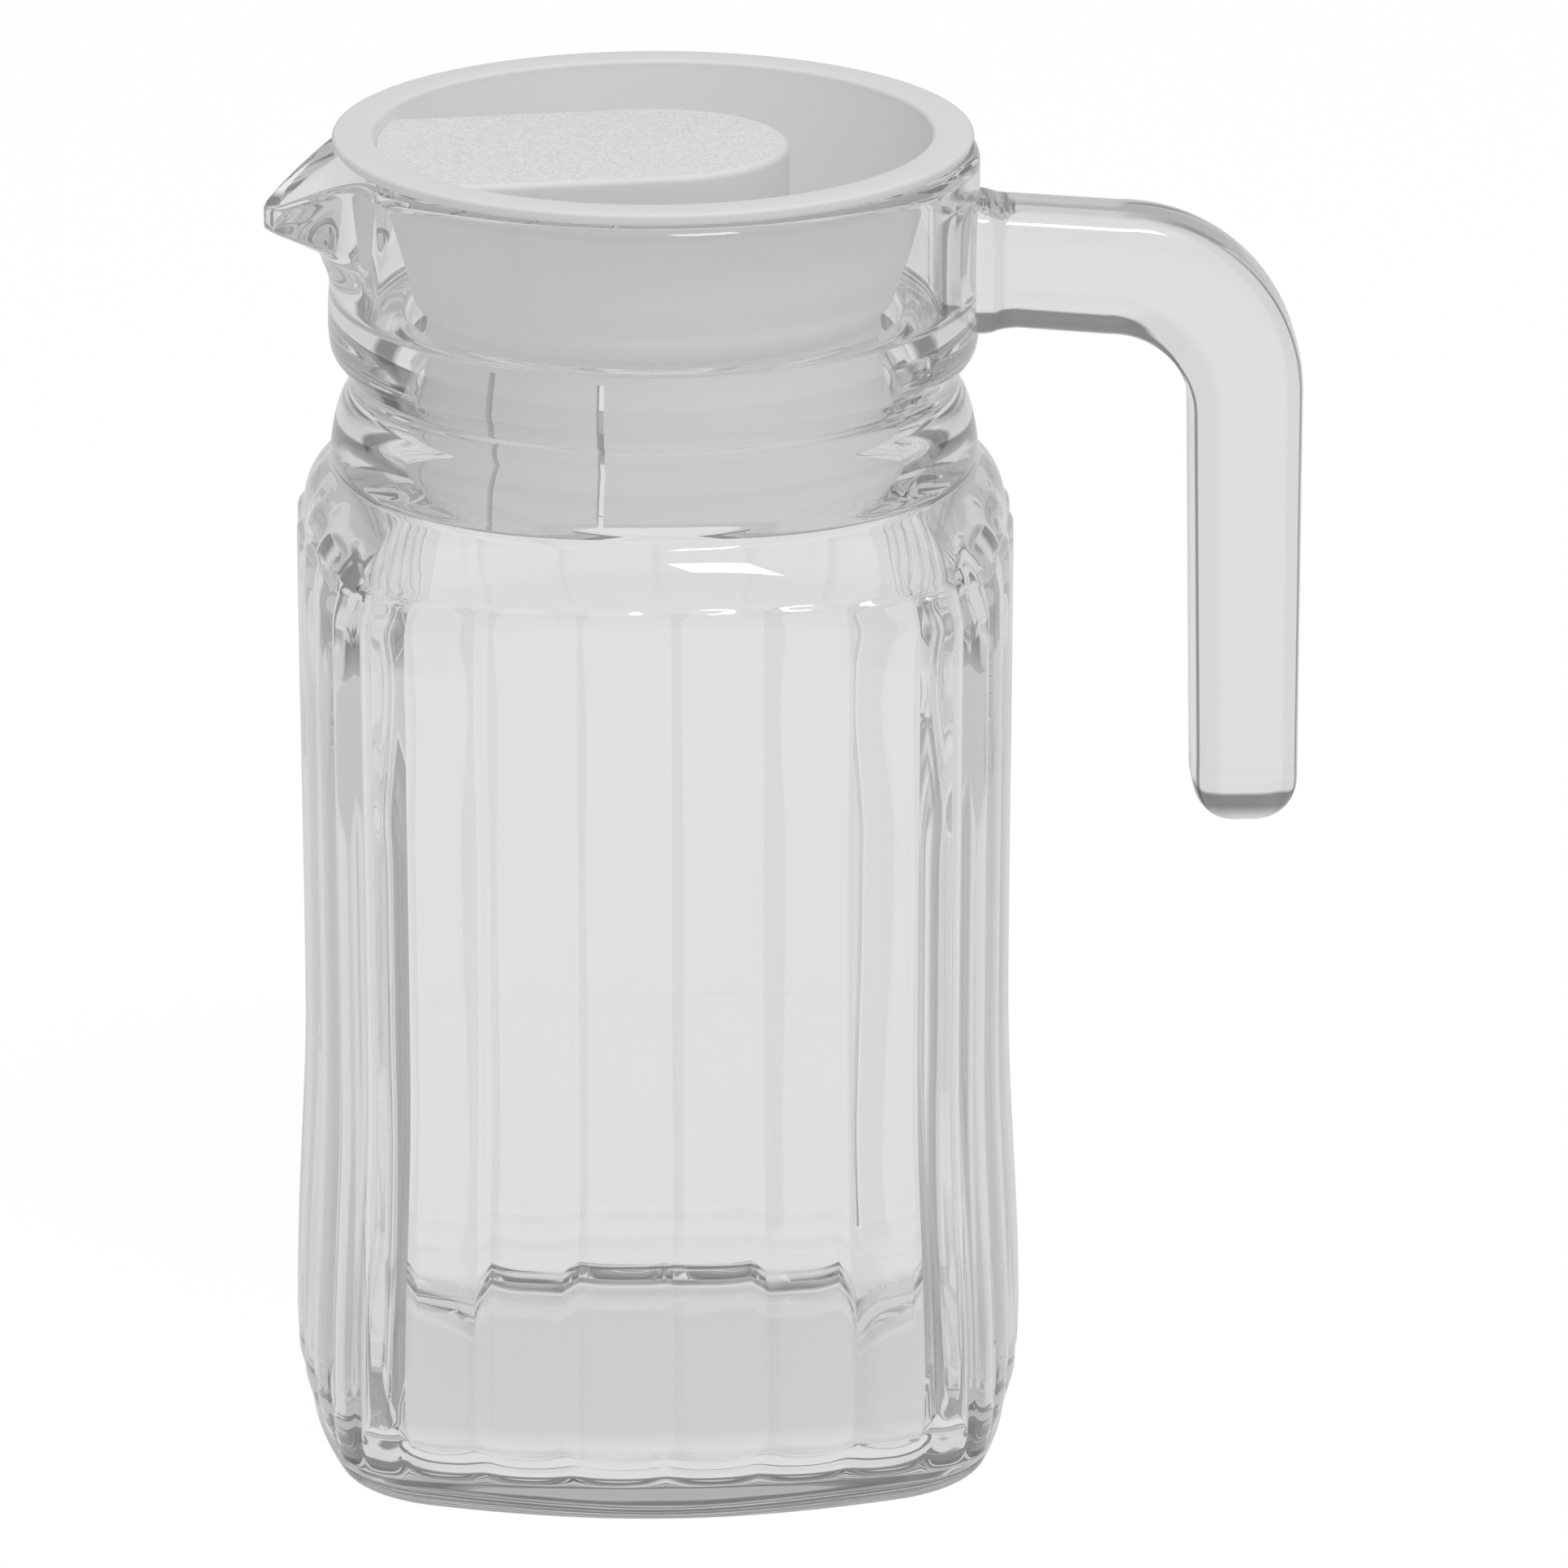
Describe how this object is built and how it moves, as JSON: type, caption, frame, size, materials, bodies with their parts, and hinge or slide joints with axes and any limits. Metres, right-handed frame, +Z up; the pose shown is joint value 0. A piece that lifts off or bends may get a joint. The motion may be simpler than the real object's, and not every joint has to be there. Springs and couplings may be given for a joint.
{
  "type": "lidded jug",
  "caption": "Square fluted glass jug with rounded corners, a round collar with a pouring lip, an open hook handle and a lift-out plastic lid with a grip bar and a slotted skirt",
  "frame": {"origin": "middle of the flat resting face under the glass body, on the axis of the round collar", "axes": "+Z up out of the mouth; the pouring lip points along -X and the handle stands at +X; +Y is the side opposite the viewer"},
  "size_m": [0.1222, 0.087, 0.159],
  "materials": {
    "jug_glass": "clear pressed and blown soda-lime glass, fire polished, smooth inside and softly fluted outside",
    "handle_glass": "clear solid glass, fire polished",
    "lid_plastic": "injection-moulded polyethylene, translucent white, satin with a stippled grip bar"
  },
  "bodies": {
    "jug": {"glass_body": "jug_glass", "handle": "handle_glass"},
    "lid": {"lid": "lid_plastic"}
  },
  "joints": [
    {"name": "lid_lift", "type": "slide", "parent": "jug", "child": "lid", "axis": [0, 0, 1], "range_m": [0, 0.06]}
  ]
}
